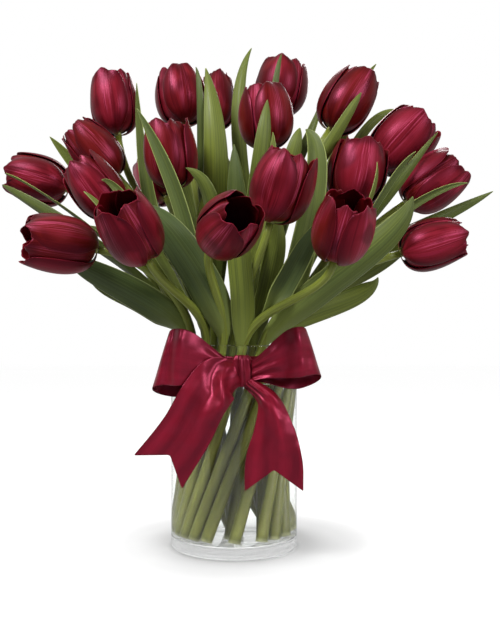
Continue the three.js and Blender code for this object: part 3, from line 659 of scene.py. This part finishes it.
def makeHeart(tulip):
    bm = newMesh()
    cut, length, roll = heartCut, tulip["length"], tulip["roll"]
    wide, seat, foot = cut["pistilRadius"], cut["seatDepth"], cut["stamenFoot"]
    tall = length * cut["pistilShare"]
    stalk = length * cut["stamenShare"]
    anther = length * cut["antherShare"] / 3
    narrow = wide * cut["pistilTaper"]
    addCone(bm, 0, up * cut["seatMiddle"], (bloomCut["receptacle"] * cut["seatShare"], wide), seat)
    addCone(bm, 0, up * (seat + tall / 2), (wide, narrow), tall)
    for lobe in range(cut["lobes"]):
        place = flatWay(lobe * 120 + roll) * narrow + up * (seat + tall)
        addBall(bm, 0, place, wide * cut["lobeShare"], cut["lobeSquash"])
    for stamen in range(cut["stamens"]):
        ring = flatWay(stamen * 60 + 30 + roll) * cut["stamenRing"]
        addCone(bm, 1, ring + up * (foot + stalk / 2), cut["stamenRadii"], stalk, 6)
        addBall(bm, 1, ring + up * (foot + stalk + anther), cut["antherRadius"],
                (cut["antherSquash"], cut["antherSquash"], anther))
    turnToBloom = up.rotation_difference(bloomAxis(tulip)).to_matrix()
    bmesh.ops.rotate(bm, cent=(0, 0, 0), matrix=turnToBloom, verts=bm.verts)
    bmesh.ops.translate(bm, vec=Vector(tulip["base"]), verts=bm.verts)
    makePiece("heart_" + tulip["name"], bm, ["pistil", "stamen"])


stemCut = {
    "footRadius": 5.7, "mouthRadius": 4.5, "neckRadius": 3.6, "sides": 16, "rows": 44,
    "flutes": 5, "fluteDeep": 0.12,
}


def makeStem(tulip):
    line = stemLine(tulip)
    foot, mouth, neck = line["foot"], line["mouth"], line["neck"]
    straight = (mouth - foot).length
    rows = stemCut["rows"]
    bend = straight / (straight + (neck - mouth).length)
    rings = []
    side = Vector((1, 0, 0))
    for row in range(rows + 1):
        share = row / rows
        if share < bend:
            centre, way = foot.lerp(mouth, share / bend), (mouth - foot).normalized()
            girth = mix(stemCut["footRadius"], stemCut["mouthRadius"], share / bend)
        else:
            part = (share - bend) / (1 - bend)
            centre, way = bezierPoint(line["curve"], part), bezierWay(line["curve"], part)
            girth = mix(stemCut["mouthRadius"], stemCut["neckRadius"], part)
        if row == rows:
            centre = neck
        side = (side - way * side.dot(way)).normalized()
        rings.append((centre, side, way.cross(side), girth))

    def surface(along, across):
        centre, first, second, girth = rings[round(along * rows)]
        turn = math.pi * across
        girth += stemCut["fluteDeep"] * math.sin(stemCut["flutes"] * turn)
        return centre + (first * math.cos(turn) + second * math.sin(turn)) * girth

    bm = newMesh()
    tone = random.Random("stem " + tulip["name"]).random()
    addGrid(bm, stemCut["sides"], rows, surface, tone)
    closeSeams(bm, stemCut["sides"])
    makePiece("stalk_" + tulip["name"], bm, ["stem"], ["stem_" + tulip["name"]])


leafCut = {
    "columns": 6, "rows": 26, "thick": 0.8, "sheathFold": 60, "bladeFold": 20, "sheathEnd": 0.35,
    "softRib": 0.25, "wave": 0.07, "waves": 1.7, "start": 1.88, "footWide": 0.14, "widest": 0.36,
    "narrowing": 0.42, "tipWide": 0.012,
}


def leafSurface(tulip, leaf, phase):
    cut = leafCut
    height, face, via, tip, wide, *fold = leaf
    sheathFold = fold[0] if fold else cut["sheathFold"]
    via, tip = Vector(via), Vector(tip)
    line = stemLine(tulip)
    foot, mouth, curve = line["foot"], line["mouth"], line["curve"]
    if height <= vase["height"]:
        start = foot.lerp(mouth, (height - foot.z) / (mouth.z - foot.z))
        way = (mouth - foot).normalized()
    else:
        share = 0
        while share < 1 and bezierPoint(curve, share).z < height:
            share += 0.01
        start, way = bezierPoint(curve, share), bezierWay(curve, share)
    back = flatWay(face)
    off = (back - way * back.dot(way)).normalized()
    start = start + off * cut["start"]
    handle = start + way * ((tip - start).length * 0.26) + off * (wide / 4)
    last = (via * 8 - start - handle * 3 - tip) / 3
    rib = (start, handle, last, tip)
    soft, narrowing = cut["softRib"], cut["narrowing"]

    def surface(along, across):
        u = 1 - (1 - along) ** 1.35
        at, ahead = bezierPoint(rib, u), bezierWay(rib, min(0.999, u))
        normal = (back - ahead * back.dot(ahead)).normalized()
        side = ahead.cross(normal)
        swell = mix(cut["footWide"], 1, math.sin(math.pi / 2 * min(1, u / cut["widest"])))
        taper = max(cut["tipWide"], 1 - max(0, (u - narrowing) / (1 - narrowing)) ** 2.8) ** 0.8
        half = wide / 2 * swell * taper
        bend = math.radians(mix(sheathFold, cut["bladeFold"], min(1, u / cut["sheathEnd"])))
        rise = (math.sqrt(across**2 + soft**2) - soft) / (math.sqrt(1 + soft**2) - soft)
        wavePhase = phase + (2.1 if across > 0 else 0)
        wave = cut["wave"] * wide * math.sin(6.28 * cut["waves"] * u + wavePhase)
        depth = half * rise * math.sin(bend) + wave * across**2 * taper * smoothStep(u, 0.15, 0.5)
        return at + side * (half * across * math.cos(bend)) - normal * depth

    return surface


def makeLeaves(tulip):
    bm = newMesh()
    dicer = random.Random("leaves " + tulip["name"])
    for leaf in tulip["leaves"]:
        surface = leafSurface(tulip, leaf, dicer.uniform(0, 6.28))
        addGrid(bm, leafCut["columns"], leafCut["rows"], surface, dicer.random())
    thicken(makePiece("leaves_" + tulip["name"], bm, ["leaf"]), leafCut["thick"])


for tulip in tulips:
    makeBloom(tulip)
    makeHeart(tulip)
    makeStem(tulip)
    makeLeaves(tulip)
print("tulips made:", len(tulips))


def makeSpun(name, profile, finishName, node):
    # the profile turned round the vase's axis; its finish throws no shadow, as the light goes through
    bm = newMesh()
    corners = [bm.verts.new((radius, 0, height)) for radius, height in profile]
    edges = [bm.edges.new(pair) for pair in zip(corners, corners[1:])]
    bmesh.ops.spin(bm, geom=corners + edges, cent=(0, 0, 0), axis=(0, 0, 1), angle=math.tau,
                   steps=vase["turns"], use_merge=True)
    closeSeams(bm)
    piece = makePiece(name, bm, [finishName], [node])
    piece.visible_shadow = False


def arc(centre, radius, start, end, count=6):
    # points of a rounded corner, angles from straight out
    angles = [math.radians(mix(start, end, step / count)) for step in range(count + 1)]
    return [(centre[0] + radius * math.cos(turn), centre[1] + radius * math.sin(turn)) for turn in angles]


def makeVase():
    # hold keeps the rounded corners from bending the light along the straight walls
    outside, inside = vase["radius"], vase["radius"] - vase["wall"]
    foot, floor, height, hold = vase["foot"], vase["floor"], vase["height"], vase["hold"]
    lip, inner = vase["wall"] / 2, vase["inner"]
    profile = [(0, 0), (outside - foot - hold, 0)]
    profile += arc((outside - foot, foot), foot, -90, 0)
    profile += [(outside, foot + hold), (outside, height - lip - hold)]
    profile += arc((outside - lip, height - lip), lip, 0, 180, 10)
    profile += [(inside, height - lip - hold), (inside, floor + inner + hold)]
    profile += arc((inside - inner, floor + inner), inner, 0, -90)
    profile += [(inside - inner - hold, floor), (0, floor)]
    makeSpun("glassVase", profile, "glass", "vase")


waterCut = {"overlap": 0.15, "climb": [(0, 1.6), (0.5, 0.9), (1.4, 0.3), (3, 0)]}


def makeWater():
    # the water reaches a hair into the glass, as touching surfaces need, and climbs at the wall
    reach = vase["radius"] - vase["wall"] + waterCut["overlap"]
    floor = vase["floor"] - waterCut["overlap"]
    level, hold, inner, climb = vase["waterLevel"], vase["hold"], vase["inner"], waterCut["climb"]
    profile = [(0, floor), (reach - inner - hold, floor)]
    profile += arc((reach - inner, floor + inner), inner, -90, 0)
    profile += [(reach, floor + inner + hold), (reach, level + climb[0][1] - hold)]
    profile += [(reach - inwards, level + rise) for inwards, rise in climb]
    profile += [(reach - climb[-1][0] - hold, level), (0, level)]
    makeSpun("stillWater", profile, "water", "water")


makeVase()
makeWater()
print("vase and water made")

# The bow, in millimetres. The knot's girths give a share of its height, how far that lies from its
# middle, and how thick it is there.
bow = {
    "wide": 54, "thick": 0.6, "bandGap": 1.3, "bandHeight": 182, "bandKnot": 10, "bandBack": 15,
    "crumple": 0.7, "knot": (7, -71.7, 179), "knotWide": 19, "knotDeep": 14, "knotHeight": 30,
    "knotGirths": [(0.0, -0.44, 0.30), (0.08, -0.50, 0.52), (0.22, -0.36, 0.88), (0.5, 0.0, 0.98),
                   (0.78, 0.36, 0.90), (0.92, 0.50, 0.62), (1.0, 0.44, 0.36)],
    "pleats": 7, "pleatDeep": 1.1, "loopRoot": 11, "loopPinch": 2, "loopStart": 8.85, "loopForward": 5,
    "loopCrown": 0.30, "gather": 1.5, "wave": 1.6, "creaseWide": 0.045, "puffWide": 0.05,
    "creaseSlant": 0.03, "swallowtail": 20,
}
loops = {
    "left": {"side": -1, "reach": 65.5, "slant": 8, "lift": 9.2, "drop": 11, "deep": 15, "upright": 0.97,
             "crease": 4.5, "creaseAt": 0.315, "puff": 3.6, "puffAt": 0.235},
    "right": {"side": 1, "reach": 57.5, "slant": 7, "lift": 15.7, "drop": 11, "deep": 15, "upright": 0.8,
              "crease": 3.4, "creaseAt": 0.15, "puff": 3.8, "puffAt": 0.245},
}
tails = {
    "left": {
        "line": [(3, -78.4, 178), (-13, -89.5, 172), (-28, -95, 153), (-43, -92, 125), (-69.5, -86, 87)],
        "narrow": 13, "waist": 22.5, "widening": 0.3, "sway": 3, "ridge": 6.0, "pleat": 0.5, "curlBack": 9,
        "flat": (0.054, 0.128), "area": 0.0064,
    },
    "right": {
        "line": [(12, -77.4, 169), (31, -86, 152), (36.5, -86, 125), (36.5, -84, 98), (36.5, -82, 69)],
        "narrow": 6, "waist": 27, "widening": 0.86, "sway": 2, "ridge": -1.5, "pleat": 2.0, "curlBack": 11,
        "flat": (0.054, 0.112), "area": 0.0055,
    },
}


def makeCloth(name, bm, node):
    piece = makePiece(name, bm, ["satin"], [node])
    thicken(piece, bow["thick"])
    return piece


def makeBand():
    radius = vase["radius"] + bow["bandGap"]

    def surface(along, across):
        angle = along * 360 - 85
        away = min(1, 2 - 2 * abs(2 * along - 1))
        half = mix(bow["bandKnot"], bow["bandBack"], away)
        crumple = bow["crumple"] * math.sin(across * 9 + 2 * math.sin(angle / 40)) * (1 - 0.6 * away)
        return flatWay(angle) * (radius + crumple) + up * (bow["bandHeight"] + across * half)

    bm = newMesh()
    addGrid(bm, 12, 96, surface)
    closeSeams(bm)
    piece = makeCloth("satinBand", bm, "ribbon_band")


def makeKnot():
    wide, deep, tall = bow["knotWide"] / 2, bow["knotDeep"] / 2, bow["knotHeight"]
    centre, girths = Vector(bow["knot"]), bow["knotGirths"]

    def girthAt(along):
        for (start, low, thin), (end, high, thick) in zip(girths, girths[1:]):
            if along <= end:
                share = smoothStep(along, start, end)
                return mix(low, high, share), mix(thin, thick, share)
        return girths[-1][1:]

    def surface(along, across):
        height, girth = girthAt(along)
        turn = math.pi * across
        pleat = math.sin(bow["pleats"] * turn + 2.2 * height)
        fold = girth * (1 + bow["pleatDeep"] / wide * (pleat - 0.4) * smoothStep(girth, 0.3, 0.8))
        return centre + Vector((wide * fold * math.cos(turn), deep * fold * math.sin(turn), height * tall))

    bm = newMesh()
    addGrid(bm, 84, 20, surface)
    closeSeams(bm)
    piece = makeCloth("satinKnot", bm, "ribbon_knot")


def makeLoop(name):
    loop, knot = loops[name], bow["knot"]

    def surface(along, across):
        out = math.sin(math.pi * along) ** 0.8
        half = mix(bow["loopRoot"], bow["wide"] / 2, smoothStep(out, 0, 0.75))
        bulge = loop["deep"] * math.sin(2 * math.pi * along) * (1 - bow["loopCrown"] * across**2)
        bulge += mix(bow["loopPinch"], -bow["loopPinch"], along) + bow["loopForward"] * out
        folds = bow["gather"] * math.sin(8.5 * across + 1) * (1 - smoothStep(out, 0.1, 0.7))
        folds += bow["wave"] * math.sin(3.4 * across + 5 * along + 1.2) * smoothStep(out, 0.3, 1)
        slanted = along - bow["creaseSlant"] * across
        folds += loop["crease"] * hump(slanted - loop["creaseAt"], bow["creaseWide"])
        folds -= loop["puff"] * hump(slanted - loop["puffAt"], bow["puffWide"])
        rise = (loop["lift"] + loop["drop"] * math.cos(math.pi * along)) * out
        return Vector((
            knot[0] + loop["side"] * (bow["loopStart"] + (loop["reach"] - loop["slant"] * across) * out),
            knot[1] - bulge + folds,
            knot[2] + rise + across * half * mix(0.9, loop["upright"], out),
        ))

    bm = newMesh()
    addGrid(bm, 20, 56, surface, 0.3)
    if loop["side"] > 0:
        bmesh.ops.reverse_faces(bm, faces=bm.faces)
    piece = makeCloth("satinLoop_" + name, bm, "bow_loop_" + name)


def throughPoints(points, share):
    # a centripetal Catmull-Rom curve, as the CAD model's tails follow
    last = len(points) - 1
    step = min(last - 1, int(share * last))
    part = share * last - step
    p1, p2 = points[step], points[step + 1]
    p0 = points[step - 1] if step > 0 else p1 * 2 - p2
    p3 = points[step + 2] if step + 2 <= last else p2 * 2 - p1
    d0, d1, d2 = ((b - a).length ** 0.5 for a, b in ((p0, p1), (p1, p2), (p2, p3)))
    t1 = ((p1 - p0) / d0 - (p2 - p0) / (d0 + d1) + (p2 - p1) / d1) * d1
    t2 = ((p2 - p1) / d1 - (p3 - p1) / (d1 + d2) + (p3 - p2) / d2) * d1
    bend = p1 * -3 + p2 * 3 - t1 * 2 - t2
    twist = p1 * 2 - p2 * 2 + t1 + t2
    place = p1 + t1 * part + bend * part**2 + twist * part**3
    way = t1 + bend * (2 * part) + twist * (3 * part**2)
    return place, way.normalized()


def makeTail(name):
    tail = tails[name]
    line = [Vector(point) for point in tail["line"]]

    def surface(along, across):
        place, way = throughPoints(line, along)
        sideways = Vector((-way.z, 0, way.x)).normalized()
        half = mix(tail["narrow"], tail["waist"], smoothStep(along, 0, tail["widening"]))
        half += (bow["wide"] / 2 - tail["waist"]) * along**4
        cut = (1 - abs(across)) * bow["swallowtail"] * along**3
        point = place - way * cut + sideways * (across * half)
        point.y -= tail["sway"] * math.sin(math.pi * across * 0.8) * math.sin(math.pi * math.sqrt(along))
        gathered = 1 - smoothStep(along, 0.0, 0.32)
        point.y -= tail["pleat"] * math.sin(11 * across + 3 * along) * gathered * min(1, 0.6 + 2 * along)
        point.y += tail["curlBack"] * across**2 * (1 - 2 * half / bow["wide"])
        # one long fold runs from the inner side at the knot to the outer side lower down
        fromRidge = across - mix(-0.7, 0.75, min(1, along / 0.42))
        shape = hump(fromRidge, 0.28) - 0.6 * hump(fromRidge + 0.6, 0.26)
        point.y -= tail["ridge"] * shape * math.sin(math.pi * min(1, along / 0.66))
        return point

    bm = newMesh()
    addGrid(bm, 20, 48, surface, 0.7)
    piece = makeCloth("satinTail_" + name, bm, "ribbon_tail_" + name)


makeBand()
makeKnot()
for name in ("left", "right"):
    makeLoop(name)
    makeTail(name)
print("bow tied")

# Plain studio: a white floor and a white sky. The floor's glow holds a painted shadow round the foot
# of the vase and painted light under it. Rings are distances from the vase's axis or near it.
# mirrored and soft give the sky's strength before the bunch and behind it.
studio = {
    "floorSize": 14.0, "grain": (30.0, 2.0), "floor": (0.25, 0.26), "floorRoughness": 0.7, "floorGloss": 0.2,
    "underGlow": 0.86, "underRing": (0.050, 0.059), "paintedShadow": 0.10, "paintedShadowRing": (0.060, 0.069),
    "nearGlow": (0.19, 0.51), "nearRing": (0.060, 0.110), "farGlow": 0.32, "farRing": (0.100, 0.180),
    "glowCentre": (-0.004, -0.012, 0), "bounce": 0.20,
    "mirrored": (0.04, 0.95), "through": 0.5, "flag": 0.30, "flagAt": (0.50, 0.97),
    "soft": (0.20, 0.62), "aim": (0, 0, 0.27),
}
# A soft key from the upper left, a weaker fill from the right and a weak light from behind.
lights = {
    "keyLight": {"place": (-0.75, -0.98, 1.42), "size": 0.5, "power": 36.0},
    "fillLight": {"place": (1.0, -1.1, 0.8), "size": 0.6, "power": 15.0},
    "backLight": {"place": (0.35, 1.3, 1.2), "size": 0.8, "power": 12.0},
}


def addLength(tree, vector):
    return addNode(tree, "ShaderNodeVectorMath", {0: vector}, operation="LENGTH").outputs["Value"]


def makeFloor():
    bm = bmesh.new()
    bmesh.ops.create_grid(bm, x_segments=6, y_segments=6, size=studio["floorSize"] / 2)
    mesh = bpy.data.meshes.new("studioFloor")
    bm.to_mesh(mesh)
    bm.free()
    finish, tree, shader = newFinish("paleFloor", {
        "Roughness": studio["floorRoughness"], "Specular IOR Level": studio["floorGloss"],
        "Emission Color": (1, 1, 1, 1),
    })
    low, high = studio["floor"]
    grain = addGrain(tree, *studio["grain"])
    feed(shader, "Base Color", addRamp(tree, grain, (0.3, (low, low, low)), (0.7, (high, high, high))))
    # painted shadow: the glow is dimmest in a ring round the foot of the vase, and behind it more than
    # before it
    where = addNode(tree, "ShaderNodeTexCoord").outputs["Object"]
    moved = addNode(tree, "ShaderNodeVectorMath", {0: where, 1: studio["glowCentre"]}, operation="ADD")
    under, away = addLength(tree, where), addLength(tree, moved.outputs[0])
    near = addRange(tree, away, *studio["nearRing"], *studio["nearGlow"])
    far = addMath(tree, "ADD", near, addRange(tree, away, *studio["farRing"], 0.0, studio["farGlow"]))
    paintedShadow = addRange(tree, under, *studio["paintedShadowRing"], studio["paintedShadow"], 1.0)
    # painted light: the floor under the vase glows bright, seen through the glass foot
    inside = addRange(tree, under, *studio["underRing"], studio["underGlow"], 0.0)
    glow = addMath(tree, "MULTIPLY_ADD", far, paintedShadow, inside)
    path = addNode(tree, "ShaderNodeLightPath")
    plain = addMath(tree, "MAXIMUM", path.outputs["Is Camera Ray"], path.outputs["Is Transmission Ray"])
    seen = addRange(tree, plain, 0.0, 1.0, studio["bounce"], 1.0)
    feed(shader, "Emission Strength", addMath(tree, "MULTIPLY", glow, seen))
    mesh.materials.append(finish)
    addObject("studioFloor", mesh)


def addSoftbox(name, place, size, power):
    light = bpy.data.lights.new(name, "AREA")
    light.size = size
    light.energy = power
    box = addObject(name, light)
    box.location = place
    box.rotation_euler = (Vector(studio["aim"]) - Vector(place)).to_track_quat("-Z", "Y").to_euler()


def setUpSky():
    # white to the camera and through the glass, dark where the glass mirrors the front, with a
    # flag on either hand that draws its edges; the light that falls on the bunch is softer
    world = bpy.data.worlds.new("studio")
    bpy.context.scene.world = world
    world.use_nodes = True
    tree = world.node_tree
    way = addNode(tree, "ShaderNodeTexCoord").outputs["Generated"]
    split = addNode(tree, "ShaderNodeSeparateXYZ", {0: way})
    aside = addMath(tree, "ABSOLUTE", split.outputs["X"])
    flags = addRange(tree, aside, *studio["flagAt"], 1.0, studio["flag"])
    path = addNode(tree, "ShaderNodeLightPath")
    mirrored = addRange(tree, split.outputs["Y"], -0.95, 0.15, *studio["mirrored"])
    through = addMath(tree, "MULTIPLY", path.outputs["Is Transmission Ray"], studio["through"])
    sharp = addMath(tree, "MULTIPLY", flags, addMath(tree, "MAXIMUM", mirrored, through))
    soft = addRange(tree, split.outputs["Y"], -0.9, 0.6, *studio["soft"])
    clear = path.outputs["Is Singular Ray"]
    rest = addMath(tree, "MULTIPLY", soft, addMath(tree, "SUBTRACT", 1.0, clear))
    light = addMath(tree, "MULTIPLY_ADD", sharp, clear, rest)
    strength = addMath(tree, "MAXIMUM", light, path.outputs["Is Camera Ray"])
    background = tree.nodes["Background"]
    background.inputs["Color"].default_value = (1, 1, 1, 1)
    tree.links.new(strength, background.inputs["Strength"])


makeFloor()
for name, light in lights.items():
    addSoftbox(name, **light)
setUpSky()
bpy.context.scene.view_settings.view_transform = "Standard"
print("studio lit")
